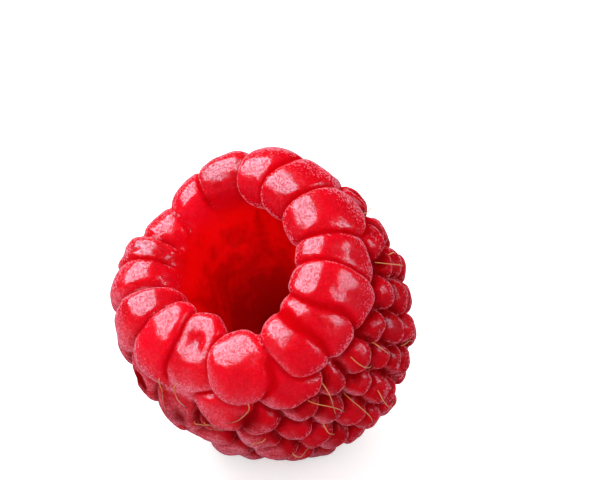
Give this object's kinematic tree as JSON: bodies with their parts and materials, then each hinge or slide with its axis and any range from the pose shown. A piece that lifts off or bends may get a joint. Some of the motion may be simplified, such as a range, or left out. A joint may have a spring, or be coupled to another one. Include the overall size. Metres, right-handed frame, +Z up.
{
  "type": "raspberry",
  "caption": "Ripe picked raspberry lying on its side: a blunt dome of small red drupelets, with long ones arched over the mouth of its empty core hollow.",
  "frame": {"origin": "on the surface that the fruit lies on, under the middle of its box", "axes": "+Z is up. The mouth of the hollow looks along -Y and up, about 45 degrees above the level. The fruit's own axis, from its tip to the middle of its mouth, lies in the YZ plane"},
  "size_m": [0.021, 0.0246, 0.0248],
  "materials": {
    "berry_skin": "ripe red fruit skin, satin, translucent, with fine pale down",
    "dried_styles": "thin dry golden-brown threads, brown at their ends"
  },
  "bodies": {
    "root": {"raspberry": "berry_skin"}
  },
  "joints": []
}
